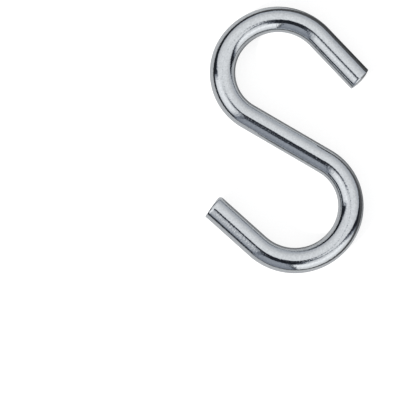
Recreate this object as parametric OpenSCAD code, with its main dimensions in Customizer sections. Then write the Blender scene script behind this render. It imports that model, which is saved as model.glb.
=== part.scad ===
// S hook bent from one length of round steel wire, lying on its side.
// Seen from above it reads as an S: the upper bend opens to the right, the lower bend to the left.
// Each bend has two radii, a tight one where it leaves the shank and a wider one before its leg.
// Both ends were cut with a shear, so their faces lean a little and their rims are slightly rolled.
// Millimetres, +Z up. The line of pull, through both bends, runs along Y.

/* [Wire] */
// Diameter of the round wire
wire_d = 6; // [3:0.1:9]

/* [Shank] */
// Straight run between the two bends
shank_length = 21.2; // [12:0.1:40]

/* [Upper bend] */
// Radius of the tight part, next to the shank, at the wire's centre line
upper_tight_r = 11.9; // [8:0.1:20]
// Angle that the tight part turns through
upper_tight_angle = 96.3; // [80:0.1:110]
// Radius of the wider part, next to the leg, at the wire's centre line
upper_wide_r = 13.4; // [8:0.1:22]
// Angle that the wider part turns through
upper_wide_angle = 99.8; // [85:0.1:115]
// Straight leg, from the bend to the middle of the cut face
upper_leg = 14.3; // [8:0.1:20]

/* [Lower bend] */
// Radius of the tight part, next to the shank, at the wire's centre line
lower_tight_r = 12.1; // [8:0.1:20]
// Angle that the tight part turns through
lower_tight_angle = 76.5; // [65:0.1:95]
// Radius of the wider part, next to the leg, at the wire's centre line
lower_wide_r = 13.2; // [8:0.1:22]
// Angle that the wider part turns through
lower_wide_angle = 115.1; // [95:0.1:125]
// Straight leg, from the bend to the middle of the cut face
lower_leg = 14.3; // [8:0.1:20]

/* [Upper cut end] */
// How far the cut leans off square, longer on the inner side of the hook
upper_cut_angle = 4.5; // [0:0.5:12]
// Radius of the domed cut face
upper_cut_dome_r = 9.3; // [8:0.1:60]
// Radius of the rolled rim
upper_rim_r = 0.35; // [0.1:0.05:1]

/* [Lower cut end] */
// How far the cut leans off square, longer on the inner side of the hook
lower_cut_angle = 6.5; // [0:0.5:12]
// Radius of the nearly flat cut face
lower_cut_dome_r = 60; // [8:0.1:60]
// Radius of the rolled rim
lower_rim_r = 0.8; // [0.1:0.05:1]

/* [Hidden] */
$fn = 60;

wire_r = wire_d / 2;
half_shank = shank_length / 2;
// Length of the last stretch of each leg, which holds the whole cut
end_length = wire_r;
// How far the rolled rim would stand past the inner edge of the cut face, which leaves that edge crisp
rim_proud = 0.03;

// Directions after the wire has turned right through an angle, starting along +X
function along(turn) = [cos(turn), -sin(turn)];
function outward(turn) = [sin(turn), cos(turn)];

// Middle of the wider part of a bend, seen from the middle of the shank
function wide_centre(tight_r, tight_turn, wide_r) =
    [half_shank, -tight_r] + (tight_r - wide_r) * outward(tight_turn);

// How far a cut face stands past its middle, at an offset towards the inner side of the hook.
// With an inset it is the surface that lies that far under the face.
function face_at(offset, lean, dome_r, inset = 0) =
    sqrt(pow(dome_r - inset, 2) - pow(offset - dome_r * sin(lean), 2)) - dome_r * cos(lean);

// Outer corner of a cut end, seen from the middle of the wider part of its bend
function outer_corner(turn, wide_r, leg, lean, dome_r) =
    (wide_r + wire_r) * outward(turn) + (leg + face_at(-wire_r, lean, dome_r)) * along(turn);

upper_centre = wide_centre(upper_tight_r, upper_tight_angle, upper_wide_r);
lower_centre = -wide_centre(lower_tight_r, lower_tight_angle, lower_wide_r);
upper_corner = upper_centre + outer_corner(
    upper_tight_angle + upper_wide_angle, upper_wide_r, upper_leg, upper_cut_angle, upper_cut_dome_r);
lower_corner = lower_centre - outer_corner(
    lower_tight_angle + lower_wide_angle, lower_wide_r, lower_leg, lower_cut_angle, lower_cut_dome_r);

// The load hangs from the middles of the two wider bends, so the line through them is upright
pull = upper_centre - lower_centre;
frame_turn = 90 - atan2(pull.y, pull.x);
function framed(p) = [
    p.x * cos(frame_turn) - p.y * sin(frame_turn),
    p.x * sin(frame_turn) + p.y * cos(frame_turn)
];

// The origin is under the middle of the hook's bounding box
right = framed(upper_corner).x;
left = framed(lower_corner).x;
top = framed(upper_centre).y + upper_wide_r + wire_r;
bottom = framed(lower_centre).y - lower_wide_r - wire_r;

// A straight run of wire along +X, with what follows at its far end
module straight(length) {
    rotate([90, 0, 90]) linear_extrude(length) circle(d = wire_d);
    translate([length, 0, 0]) children();
}

// Everything on the +X side of the plane x = 0, as far out as a bend reaches
module ahead(reach) {
    translate([0, -reach, -wire_d]) cube([reach, 2 * reach, 2 * wire_d]);
}

// A bend to the right, with what follows at its far end.
// It is the stretch of a ring between the plane where the bend starts and the one where it ends.
module bend(radius, turn) {
    reach = radius + wire_d;
    translate([0, -radius, 0]) {
        intersection() {
            rotate([0, 0, 180]) rotate_extrude() translate([radius, 0]) circle(d = wire_d);
            ahead(reach);
            rotate([0, 0, -turn]) mirror([1, 0, 0]) ahead(reach);
        }
        rotate([0, 0, -turn]) translate([0, radius, 0]) children();
    }
}

// Half the wire's section along its axis, with the rolled rim short of the far end
module rim_profile(rim_top, rim_r) {
    square([wire_r, rim_top - rim_r]);
    square([wire_r - rim_r, rim_top + wire_r]);
    translate([wire_r - rim_r, rim_top - rim_r]) circle(r = rim_r);
}

// The sheared end: a rolled rim, cut off by a domed face that leans in the hook's plane
module cut_end(lean, dome_r, rim_r) {
    rim_top = end_length + face_at(wire_r - rim_r, lean, dome_r, rim_r) + rim_r + rim_proud;
    intersection() {
        rotate([90, 0, 90]) rotate_extrude() rim_profile(rim_top, rim_r);
        translate([end_length, 0, 0])
            rotate([0, 0, lean])
                translate([-dome_r, 0, 0]) sphere(r = dome_r);
    }
}

// Half of the hook: half the shank, the bend in its two parts, and the leg with its cut end
module half_hook(tight_r, tight_turn, wide_r, wide_turn, leg, lean, dome_r, rim_r) {
    straight(half_shank)
        bend(tight_r, tight_turn)
            bend(wide_r, wide_turn)
                straight(leg - end_length)
                    cut_end(lean, dome_r, rim_r);
}

module s_hook() {
    color("#B4BAC1")
        translate([-(left + right) / 2, -(bottom + top) / 2, wire_r])
            rotate([0, 0, frame_turn]) {
                half_hook(upper_tight_r, upper_tight_angle, upper_wide_r, upper_wide_angle,
                    upper_leg, upper_cut_angle, upper_cut_dome_r, upper_rim_r);
                rotate([0, 0, 180])
                    half_hook(lower_tight_r, lower_tight_angle, lower_wide_r, lower_wide_angle,
                        lower_leg, lower_cut_angle, lower_cut_dome_r, lower_rim_r);
            }
}

s_hook();
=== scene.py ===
from math import ceil, cos, pi, radians, sin, sqrt, tan

import bpy
from mathutils import Matrix, Vector


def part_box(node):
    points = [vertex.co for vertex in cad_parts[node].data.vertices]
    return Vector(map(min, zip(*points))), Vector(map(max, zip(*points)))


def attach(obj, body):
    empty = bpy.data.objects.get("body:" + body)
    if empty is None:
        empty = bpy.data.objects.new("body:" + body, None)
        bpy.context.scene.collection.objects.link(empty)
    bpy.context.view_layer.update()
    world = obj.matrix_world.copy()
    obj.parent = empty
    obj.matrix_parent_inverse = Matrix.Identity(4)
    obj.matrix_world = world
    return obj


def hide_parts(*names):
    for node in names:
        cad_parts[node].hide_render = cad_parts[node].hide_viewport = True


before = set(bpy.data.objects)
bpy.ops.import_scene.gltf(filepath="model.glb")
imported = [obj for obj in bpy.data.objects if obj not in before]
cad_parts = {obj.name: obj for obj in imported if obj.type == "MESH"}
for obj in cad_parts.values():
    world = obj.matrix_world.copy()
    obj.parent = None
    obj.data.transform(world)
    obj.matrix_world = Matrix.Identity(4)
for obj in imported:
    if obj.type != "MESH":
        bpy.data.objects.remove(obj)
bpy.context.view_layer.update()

# Camera. It looks straight down on the hook from so high up that the view is almost
# orthographic, and it is turned a little, so that the hook lies in the picture as it does in
# the photograph.
MM = 0.001
wire_r = 3 * MM
camera_height = 1200 * MM
picture_width = 94.19 * MM
picture_middle = Vector((-21.997, -11.351)) * MM
picture_turn = radians(-7.49)

scene = bpy.context.scene
scene.view_settings.view_transform = "Standard"
camera = bpy.data.objects.new("camera", bpy.data.cameras.new("camera"))
camera.data.sensor_width = 36
camera.data.lens = camera.data.sensor_width * (camera_height - wire_r) / picture_width
camera.data.clip_start = 0.1
camera.data.clip_end = 10
camera.location = (*picture_middle, camera_height)
camera.rotation_euler = (0, 0, picture_turn)
scene.collection.objects.link(camera)
scene.camera = camera


# Cut wire. The hook is one length of drawn mild steel wire, sheared off at both ends.
# The blade drags the top of the edge down before the steel parts, so the rim is rounder there,
# and each face is left domed and leaning a little, longer on the inner side of the hook.
LEFT, RIGHT = 1, -1
leg = 14.3 * MM
shank_length = 21.2 * MM
lower_bends = [(13.2 * MM, LEFT * radians(115.1)), (12.1 * MM, LEFT * radians(76.5))]
upper_bends = [(11.9 * MM, RIGHT * radians(96.3)), (13.4 * MM, RIGHT * radians(99.8))]
bent_length = sum(radius * abs(angle) for radius, angle in lower_bends + upper_bends)
wire_length = 2 * leg + shank_length + bent_length
# Each face leans off square and is domed, and its rolled rim has one radius all round but the top
lower_cut = {"lean": radians(6.5), "dome_r": 60 * MM, "rim_r": 0.8 * MM, "top_rim_r": 1.0 * MM}
upper_cut = {"lean": radians(4.5), "dome_r": 9.3 * MM, "rim_r": 0.35 * MM, "top_rim_r": 0.75 * MM}
# How far the rim would stand past the inner edge of the face, which leaves that edge crisp
rim_proud = 0.03 * MM
# Points round the wire, rings along it and rings in each cut face
sides, rings, face_rings = 96, 454, 20
# How far from an end the rings still lean as its face does
lean_reach = 4 * MM


def cut_at(lean, dome_r, rim_r, top_rim_r, off_axis, angle):
    """How far a cut end reaches past the middle of its face, at a distance from the wire's axis
    and an angle round it, from the inner side of the hook over the top."""
    def face(inwards, height, inset=0):
        left = (dome_r - inset) ** 2 - (inwards - dome_r * sin(lean)) ** 2 - height ** 2
        return sqrt(left) - dome_r * cos(lean)

    reach = face(off_axis * cos(angle), off_axis * sin(angle))
    rolled = rim_r + (top_rim_r - rim_r) * max(0, sin(angle)) ** 2
    past = off_axis - wire_r + rolled
    if past > 0:
        rim_top = face(wire_r - rim_r, 0, rim_r) + rim_r + rim_proud
        reach = min(reach, rim_top - rolled + sqrt(max(0, rolled ** 2 - past ** 2)))
    return reach


def ring(along, off_axis, cut, end):
    """One ring of points round the straight wire, leaning as much as its end's cut does there.
    The wire runs along X, with the hook's left side at +Y and its top at +Z. The end is -1 on the
    lower half of the hook, where the wire starts, and 1 on the upper half."""
    from_end = wire_length - along if end > 0 else along
    share = max(0, 1 - from_end / lean_reach) ** 2
    circle = []
    for index in range(sides):
        angle = 2 * pi * index / sides
        from_inner = angle if end < 0 else pi - angle
        reach = share * cut_at(**cut, off_axis=off_axis, angle=from_inner)
        circle.append((along + end * reach, off_axis * cos(angle), off_axis * sin(angle)))
    return circle


face_shares = [sin(pi / 2 * index / face_rings) for index in range(1, face_rings)]
points = [(0, 0, 0)]
for share in face_shares:
    points += ring(0, wire_r * share, lower_cut, -1)
for index in range(rings + 1):
    along = wire_length * index / rings
    cut, end = (lower_cut, -1) if 2 * along < wire_length else (upper_cut, 1)
    points += ring(along, wire_r, cut, end)
for share in reversed(face_shares):
    points += ring(wire_length, wire_r * share, upper_cut, 1)
points.append((wire_length, 0, 0))

last = len(points) - 1
faces = []
for side in range(sides):
    after = (side + 1) % sides
    faces.append((0, 1 + after, 1 + side))
    faces.append((last, last - sides + side, last - sides + after))
    for start in range(1, last - sides, sides):
        ahead = start + sides
        faces.append((start + side, start + after, ahead + after, ahead + side))
wire_mesh = bpy.data.meshes.new("straight_wire")
wire_mesh.from_pydata(points, [], faces)
wire_mesh.shade_smooth()
wire = bpy.data.objects.new("straight_wire", wire_mesh)
scene.collection.objects.link(wire)


# Bends. The wire was bent cold round formers, two to a bend, with the tighter one by the shank.
# Its centre line is drawn as one curve, and the straight wire is then laid along it.
longest_arc = radians(45)
# The centre line runs on past both cut faces, so that it can be sampled there
spare = 1 * MM
place, heading = Vector((0, 0)), Vector((1, 0))
knots, bend_middles = [[place, heading, 0, 0]], []
end_run = (leg + spare, 0)
# A run is a bend's radius and angle, or a straight length and no angle
for size, angle in [end_run, *lower_bends, (shank_length, 0), *upper_bends, end_run]:
    if angle == 0:
        steps, turn, handle = 1, None, size / 3
    else:
        steps = ceil(abs(angle) / longest_arc)
        turn = Matrix.Rotation(angle / steps, 2)
        # Handles of this length keep the curve between two knots on the arc
        handle = size * 4 / 3 * tan(abs(angle) / steps / 4)
        middle = place + Matrix.Rotation(pi / 2 if angle > 0 else -pi / 2, 2) @ heading * size
        bend_middles.append(middle)
    for _ in range(steps):
        knots[-1][3] = handle
        if turn:
            place, heading = middle + turn @ (place - middle), turn @ heading
        else:
            place = place + heading * size
        knots.append([place, heading, handle, 0])

line = bpy.data.curves.new("centre_line", "CURVE")
line.dimensions = "3D"
line.resolution_u = 48
spline = line.splines.new("BEZIER")
spline.bezier_points.add(len(knots) - 1)
for knot, (place, heading, before, after) in zip(spline.bezier_points, knots):
    knot.co = (*place, 0)
    knot.handle_left = (*(place - heading * before), 0)
    knot.handle_right = (*(place + heading * after), 0)
# The load hangs in the middles of the two wide bends, so the line through them lies along Y
pull = bend_middles[3] - bend_middles[0]
line.transform(Matrix.Rotation(-pull.angle_signed(Vector((0, 1))), 4, "Z"))
centre_line = bpy.data.objects.new("centre_line", line)
scene.collection.objects.link(centre_line)


def add(tree, kind, inputs=(), **settings):
    """Adds a node. Its inputs come in order, or in a dictionary by name, each as a value or as
    the node or socket that links to it. None leaves an input as it is."""
    node = tree.nodes.new(kind)
    for name, value in settings.items():
        setattr(node, name, value)
    for name, value in inputs.items() if isinstance(inputs, dict) else enumerate(inputs):
        if isinstance(value, bpy.types.Node):
            value = next(output for output in value.outputs if output.enabled)
        if isinstance(value, bpy.types.NodeSocket):
            tree.links.new(value, node.inputs[name])
        elif value is not None:
            node.inputs[name].default_value = value
    return node


bending = bpy.data.node_groups.new("bend_wire", "GeometryNodeTree")
bending.interface.new_socket("Geometry", in_out="OUTPUT", socket_type="NodeSocketGeometry")
for name, kind in (("Geometry", "Geometry"), ("Centre line", "Object"), ("Spare", "Float"),
                   ("Crease angle", "Float"), ("Finish", "Material")):
    bending.interface.new_socket(name, in_out="INPUT", socket_type="NodeSocket" + kind)
given = add(bending, "NodeGroupInput").outputs
straight = add(bending, "GeometryNodeInputPosition")
along, aside, height = add(bending, "ShaderNodeSeparateXYZ", [straight]).outputs
# The straight wire's own coordinates stay on the mesh, for the finish
marked = add(bending, "GeometryNodeStoreNamedAttribute", {
    "Geometry": given["Geometry"], "Name": "straight_wire", "Value": straight},
    data_type="FLOAT_VECTOR")
from_start = add(bending, "ShaderNodeMath", [along, given["Spare"]], operation="ADD")
path = add(bending, "GeometryNodeObjectInfo", [given["Centre line"]]).outputs["Geometry"]
sample = add(bending, "GeometryNodeSampleCurve", {"Curves": path, "Length": from_start},
             mode="LENGTH")
to_left = add(bending, "ShaderNodeVectorMath", [(0, 0, 1), sample.outputs["Tangent"]],
              operation="CROSS_PRODUCT")
to_left = add(bending, "ShaderNodeVectorMath", [to_left], operation="NORMALIZE")
to_left = add(bending, "ShaderNodeVectorMath", {"Vector": to_left, "Scale": aside},
              operation="SCALE")
upwards = add(bending, "ShaderNodeCombineXYZ", [None, None, height])
bent = add(bending, "ShaderNodeVectorMath", [sample.outputs["Position"], to_left], operation="ADD")
bent = add(bending, "ShaderNodeVectorMath", [bent, upwards], operation="ADD")
moved = add(bending, "GeometryNodeSetPosition", {"Geometry": marked, "Position": bent})
# Edges sharper than a crease are shaded as sharp, and the rest stay smooth
fold = add(bending, "GeometryNodeInputMeshEdgeAngle").outputs["Unsigned Angle"]
soft = add(bending, "ShaderNodeMath", [fold, given["Crease angle"]], operation="LESS_THAN")
smoothed = add(bending, "GeometryNodeSetShadeSmooth", {"Geometry": moved, "Shade Smooth": soft},
               domain="EDGE")
whole = add(bending, "GeometryNodeRealizeInstances", [smoothed])
add(bending, "NodeGroupOutput", [add(bending, "GeometryNodeSetMaterial", {
    "Geometry": whole, "Material": given["Finish"]})])


# Zinc plate. Bright electroplated zinc over drawn wire is pale, slightly blue metal. It is smooth
# enough to mirror what is round it, with fine lines along the wire from the drawing die and a
# speckle of crystals in the plate.
def linear(hex_colour):
    """A colour written as sRGB hex, as the linear one that Blender takes."""
    channels = [int(hex_colour[i:i + 2], 16) / 255 for i in (1, 3, 5)]
    return (*(c / 12.92 if c <= 0.04045 else ((c + 0.055) / 1.055) ** 2.4 for c in channels), 1)


zinc = bpy.data.materials.new("bright_zinc_plated_drawn_steel")
zinc.use_nodes = True
plate = zinc.node_tree
plate.nodes.clear()
on_wire = add(plate, "ShaderNodeAttribute", attribute_name="straight_wire").outputs["Vector"]
# Drawn lines are some 0.3 mm apart and 6 mm long, the coarsest that a die leaves
line_length, line_gap, line_depth = 6 * MM, 0.3 * MM, 4e-3 * MM
drawn = add(plate, "ShaderNodeVectorMath", [on_wire, (1 / line_length, 1 / line_gap, 1 / line_gap)],
            operation="MULTIPLY")
drawn = add(plate, "ShaderNodeTexNoise", {"Vector": drawn, "Scale": 1, "Detail": 1}).outputs["Fac"]
drawn = add(plate, "ShaderNodeMath", [drawn, line_depth], operation="MULTIPLY")
# Crystals of zinc are far finer than a pixel, so their speckle is drawn 0.45 mm across
crystal, crystal_height = 0.45 * MM, 14e-3 * MM
speckle = add(plate, "ShaderNodeTexNoise", {
    "Vector": on_wire, "Scale": 1 / crystal, "Detail": 2, "Roughness": 0.6}).outputs["Fac"]
relief = add(plate, "ShaderNodeMath", [speckle, crystal_height, drawn], operation="MULTIPLY_ADD")
bump = add(plate, "ShaderNodeBump", {"Distance": 1, "Height": relief})
shade = add(plate, "ShaderNodeValToRGB", [speckle])
tones = [(0.35, "#CBCFD3"), (0.65, "#D8DCE0")]
for stop, (position, colour) in zip(shade.color_ramp.elements, tones):
    stop.position, stop.color = position, linear(colour)
shader = add(plate, "ShaderNodeBsdfPrincipled", {
    "Base Color": shade, "Metallic": 1, "Roughness": 0.08, "Normal": bump})
add(plate, "ShaderNodeOutputMaterial", {"Surface": shader})

modifier = wire.modifiers.new("bend_wire", "NODES")
modifier.node_group = bending
values = {"Centre line": centre_line, "Spare": spare, "Crease angle": radians(25), "Finish": zinc}
for socket in bending.interface.items_tree:
    if socket.name in values:
        modifier[socket.identifier] = values[socket.name]
bent_wire = wire.evaluated_get(bpy.context.evaluated_depsgraph_get())
hook_mesh = bpy.data.meshes.new_from_object(bent_wire)
hook = bpy.data.objects.new("zinc_plated_hook", hook_mesh)
scene.collection.objects.link(hook)
for spent in (wire, centre_line):
    bpy.data.objects.remove(spent)

# The hook goes where its solid is, from the middles of their two boxes
low, high = (Vector(map(pick, *(v.co for v in hook_mesh.vertices))) for pick in (min, max))
solid_low, solid_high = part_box("s_hook")
hook_mesh.transform(Matrix.Translation((solid_low + solid_high - low - high) / 2))
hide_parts("s_hook")
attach(hook, "root")


# Floor. The hook lies on a wide sheet of matt paper. What the metal mirrors of it holds a painted
# pool of light round the hook and painted darkness farther to its right, so the metal's right rims
# are dark. To the camera it is white all over, with a faint shadow.
floor_half = 3000 * MM
floor_mesh = bpy.data.meshes.new("floor")
corners = [(-floor_half, -floor_half), (floor_half, -floor_half),
           (floor_half, floor_half), (-floor_half, floor_half)]
floor_mesh.from_pydata([(*corner, 0) for corner in corners], [], [(0, 1, 2, 3)])
floor = bpy.data.objects.new("floor", floor_mesh)
scene.collection.objects.link(floor)
paper = bpy.data.materials.new("matt_paper")
paper.use_nodes = True
sheet = paper.node_tree
sheet.nodes.clear()
floor_mesh.materials.append(paper)
# A painted pool of light that only the metal mirrors: the shade turns from pale to painted dark at
# the edge of an oval
pale, dark = 0.38, 0.06
painted_pool_middle, painted_pool_half = Vector((-30, -5, 0)) * MM, Vector((52, 60, 1)) * MM
painted_pool_edge = (0.98, 1.06)
here = add(sheet, "ShaderNodeTexCoord").outputs["Object"]
here = add(sheet, "ShaderNodeVectorMath", [here, painted_pool_middle], operation="SUBTRACT")
here = add(sheet, "ShaderNodeVectorMath", [here, painted_pool_half], operation="DIVIDE")
from_middle = add(sheet, "ShaderNodeVectorMath", [here], operation="LENGTH").outputs["Value"]
shade = add(sheet, "ShaderNodeMapRange", {
    "Value": from_middle, "From Min": painted_pool_edge[0], "From Max": painted_pool_edge[1],
    "To Min": pale, "To Max": dark}, interpolation_type="SMOOTHSTEP")
# What the camera sees is nearly white by itself, and its own shade under the lights adds the rest
camera_white, camera_shade = 0.8, 0.3
to_camera = add(sheet, "ShaderNodeLightPath").outputs["Is Camera Ray"]
white = add(sheet, "ShaderNodeMath", [to_camera, camera_white], operation="MULTIPLY")
# Rays other than the camera's see the painted pool of light, and the camera sees an even shade
painted_pool_or_camera_shade = add(sheet, "ShaderNodeMix", {"Factor": to_camera, "A": shade, "B": camera_shade})
surface = add(sheet, "ShaderNodeBsdfPrincipled", {
    "Base Color": painted_pool_or_camera_shade, "Roughness": 1, "Specular IOR Level": 0,
    "Emission Color": (1, 1, 1, 1), "Emission Strength": white})
add(sheet, "ShaderNodeOutputMaterial", {"Surface": surface})

# A low lamp from the lower left lights the paper, so the wire's shadow darkens the rims on its
# other side. The lamp itself doesn't show in the metal.
lamp_azimuth, lamp_rise = radians(216), radians(30)
lamp = bpy.data.objects.new("low_lamp", bpy.data.lights.new("low_lamp", "SUN"))
lamp.data.energy = 6
lamp.data.angle = radians(12)
lamp.rotation_euler = (0, pi / 2 - lamp_rise, lamp_azimuth + picture_turn)
lamp.visible_glossy = False
scene.collection.objects.link(lamp)


# Light tent. White cards and dark gaps stand all round the hook, far off, and light it softly.
# They are laid out on a round map of the dome above it, as its picture in a mirror ball: the
# zenith is in the middle and the horizon is at 0.707. Azimuth runs from the picture's right.
world = bpy.data.worlds.new("light_tent")
scene.world = world
world.use_nodes = True
dome = world.node_tree
dome.nodes.clear()
direction = add(dome, "ShaderNodeTexCoord").outputs["Generated"]
direction = add(dome, "ShaderNodeVectorRotate", {
    "Vector": direction, "Axis": (0, 0, 1), "Angle": -picture_turn})
rise = add(dome, "ShaderNodeSeparateXYZ", [direction]).outputs["Z"]
# A direction is brought onto the map by the share 1 / sqrt(2 + 2 * rise), and a trace more under
# the root keeps that share finite straight down
trace = 0.0001
twice = add(dome, "ShaderNodeMath", [rise, 2, 2 + trace], operation="MULTIPLY_ADD")
shrink = add(dome, "ShaderNodeMath", [twice], operation="INVERSE_SQRT")
ball = add(dome, "ShaderNodeVectorMath", {"Vector": direction, "Scale": shrink}, operation="SCALE")
ball = add(dome, "ShaderNodeVectorMath", [ball, (1, 1, 0)], operation="MULTIPLY")
radius = add(dome, "ShaderNodeVectorMath", [ball], operation="LENGTH").outputs["Value"]
across, upright, _ = add(dome, "ShaderNodeSeparateXYZ", [ball]).outputs
azimuth = add(dome, "ShaderNodeMath", [upright, across], operation="ARCTAN2")
azimuth = add(dome, "ShaderNodeMath", [azimuth, 180 / pi], operation="MULTIPLY")
azimuth = add(dome, "ShaderNodeMath", [azimuth, 0, 360], operation="WRAP")


def lay(under, levels, *edges):
    """Lays a card over what is under it. Its light changes from the zenith outwards, through stops
    of radius and level. Each of its soft edges is a value, with where that is still outside the
    card and where it is wholly inside."""
    ramp = add(dome, "ShaderNodeValToRGB", [radius])
    stops = ramp.color_ramp.elements
    stops.remove(stops[1])
    for index, (position, level) in enumerate(levels):
        stop = stops.new(position) if index else stops[0]
        stop.position, stop.color = position, (level, level, level, 1)
    mask = 1
    for value, outside, inside in edges:
        edge = add(dome, "ShaderNodeMapRange", {
            "Value": value, "From Min": outside, "From Max": inside},
            interpolation_type="SMOOTHSTEP")
        mask = add(dome, "ShaderNodeMath", [mask, edge], operation="MULTIPLY")
    return add(dome, "ShaderNodeMix", {"Factor": mask, "A": under, "B": ramp.outputs["Color"]})


def sector(azimuths, radii, leans=(0, 0), soft_sides=(2, 2), soft_ends=(0.03, 0.03)):
    """The edges of a card between two azimuths and two radii. Each side leans by so many degrees
    from the zenith to the rim of the map."""
    edges = []
    for end, inwards in zip(radii, (soft_ends[0], -soft_ends[1])):
        edges.append((radius, end - inwards, end + inwards))
    for side, lean, inwards in zip(azimuths, leans, (soft_sides[0], -soft_sides[1])):
        straightened = add(dome, "ShaderNodeMath", [radius, -lean, azimuth],
                           operation="MULTIPLY_ADD")
        edges.append((straightened, side - inwards, side + inwards))
    return edges


def rounded(middle, half, corner, soft):
    """The edge of a card shaped as a rounded rectangle, square to the picture."""
    from_middle = add(dome, "ShaderNodeVectorMath", [ball, (*middle, 0)], operation="SUBTRACT")
    folded = add(dome, "ShaderNodeVectorMath", [from_middle], operation="ABSOLUTE")
    straight_part = (half[0] - corner, half[1] - corner, 0)
    past = add(dome, "ShaderNodeVectorMath", [folded, straight_part], operation="SUBTRACT")
    past = add(dome, "ShaderNodeVectorMath", [past, (0, 0, 0)], operation="MAXIMUM")
    from_corner = add(dome, "ShaderNodeVectorMath", [past], operation="LENGTH").outputs["Value"]
    return from_corner, corner + soft, corner - soft


# Softbox at the lower right
darkness = 0.02
gap = [(0, darkness)]
light = lay(darkness, [(0.2, 0.5), (0.32, 0.75), (0.44, 1), (0.55, 0.85), (0.7, 0.6)],
            *sector((265, 306), (0.19, 0.8), leans=(12, 45), soft_sides=(1.5, 7),
                    soft_ends=(0.05, 0.03)))
# Overhead tent, a rounded sheet above and behind the hook, whose right side hangs lower. A thin
# gap shows along its edge.
tent_levels = [(0, 0.76), (0.25, 0.74), (0.4, 0.65), (0.55, 0.51), (0.7, 0.43)]
above_floor = rounded((0.075, 0.075), (0.6, 0.6), 0.6, 0.015)
light = lay(light, gap, rounded((0.26, 0.19), (0.385, 0.385), 0.385, 0.02))
light = lay(light, tent_levels, above_floor, rounded((0.06, 0.33), (0.58, 0.37), 0.3, 0.03))
light = lay(light, tent_levels, above_floor, rounded((0.26, 0.2), (0.4, 0.37), 0.37, 0.015))
# The opening for the camera, just below the zenith, and the dark gap round its lower end
light = lay(light, gap, rounded((-0.012, -0.117), (0.05, 0.108), 0.05, 0.02))
light = lay(light, gap, *sector((214, 282), (0.07, 0.32), soft_sides=(8, 6)))
# Softbox at the lower left, and a blue-grey panel between the two softboxes
light = lay(light, [(0.1, 0.62), (0.3, 0.92), (0.5, 0.8), (0.6, 0.62)],
            *sector((183, 233), (0.13, 0.6), leans=(0, -8), soft_sides=(4, 10)))
light = lay(light, [(0.3, 0.36), (0.5, 0.33), (0.7, 0.23)],
            *sector((246, 260.5), (0.29, 0.8), leans=(-24, 14), soft_sides=(1, 1.5)))

# A card of level 1 shines with this strength
brightest = 1.3
strength = add(dome, "ShaderNodeMath", [light, brightest], operation="MULTIPLY")
to_camera = add(dome, "ShaderNodeLightPath").outputs["Is Camera Ray"]
strength = add(dome, "ShaderNodeMix", {"Factor": to_camera, "A": strength, "B": 1})
# The dark room round the tent is bluish, and the cards are white
tint = add(dome, "ShaderNodeValToRGB", [light])
room, white_card = tint.color_ramp.elements
room.color = linear("#D8E6FF")
white_card.color = linear("#FFFFFF")
white_card.position = 0.6
studio = add(dome, "ShaderNodeBackground", {"Color": tint, "Strength": strength})
add(dome, "ShaderNodeOutputWorld", {"Surface": studio})
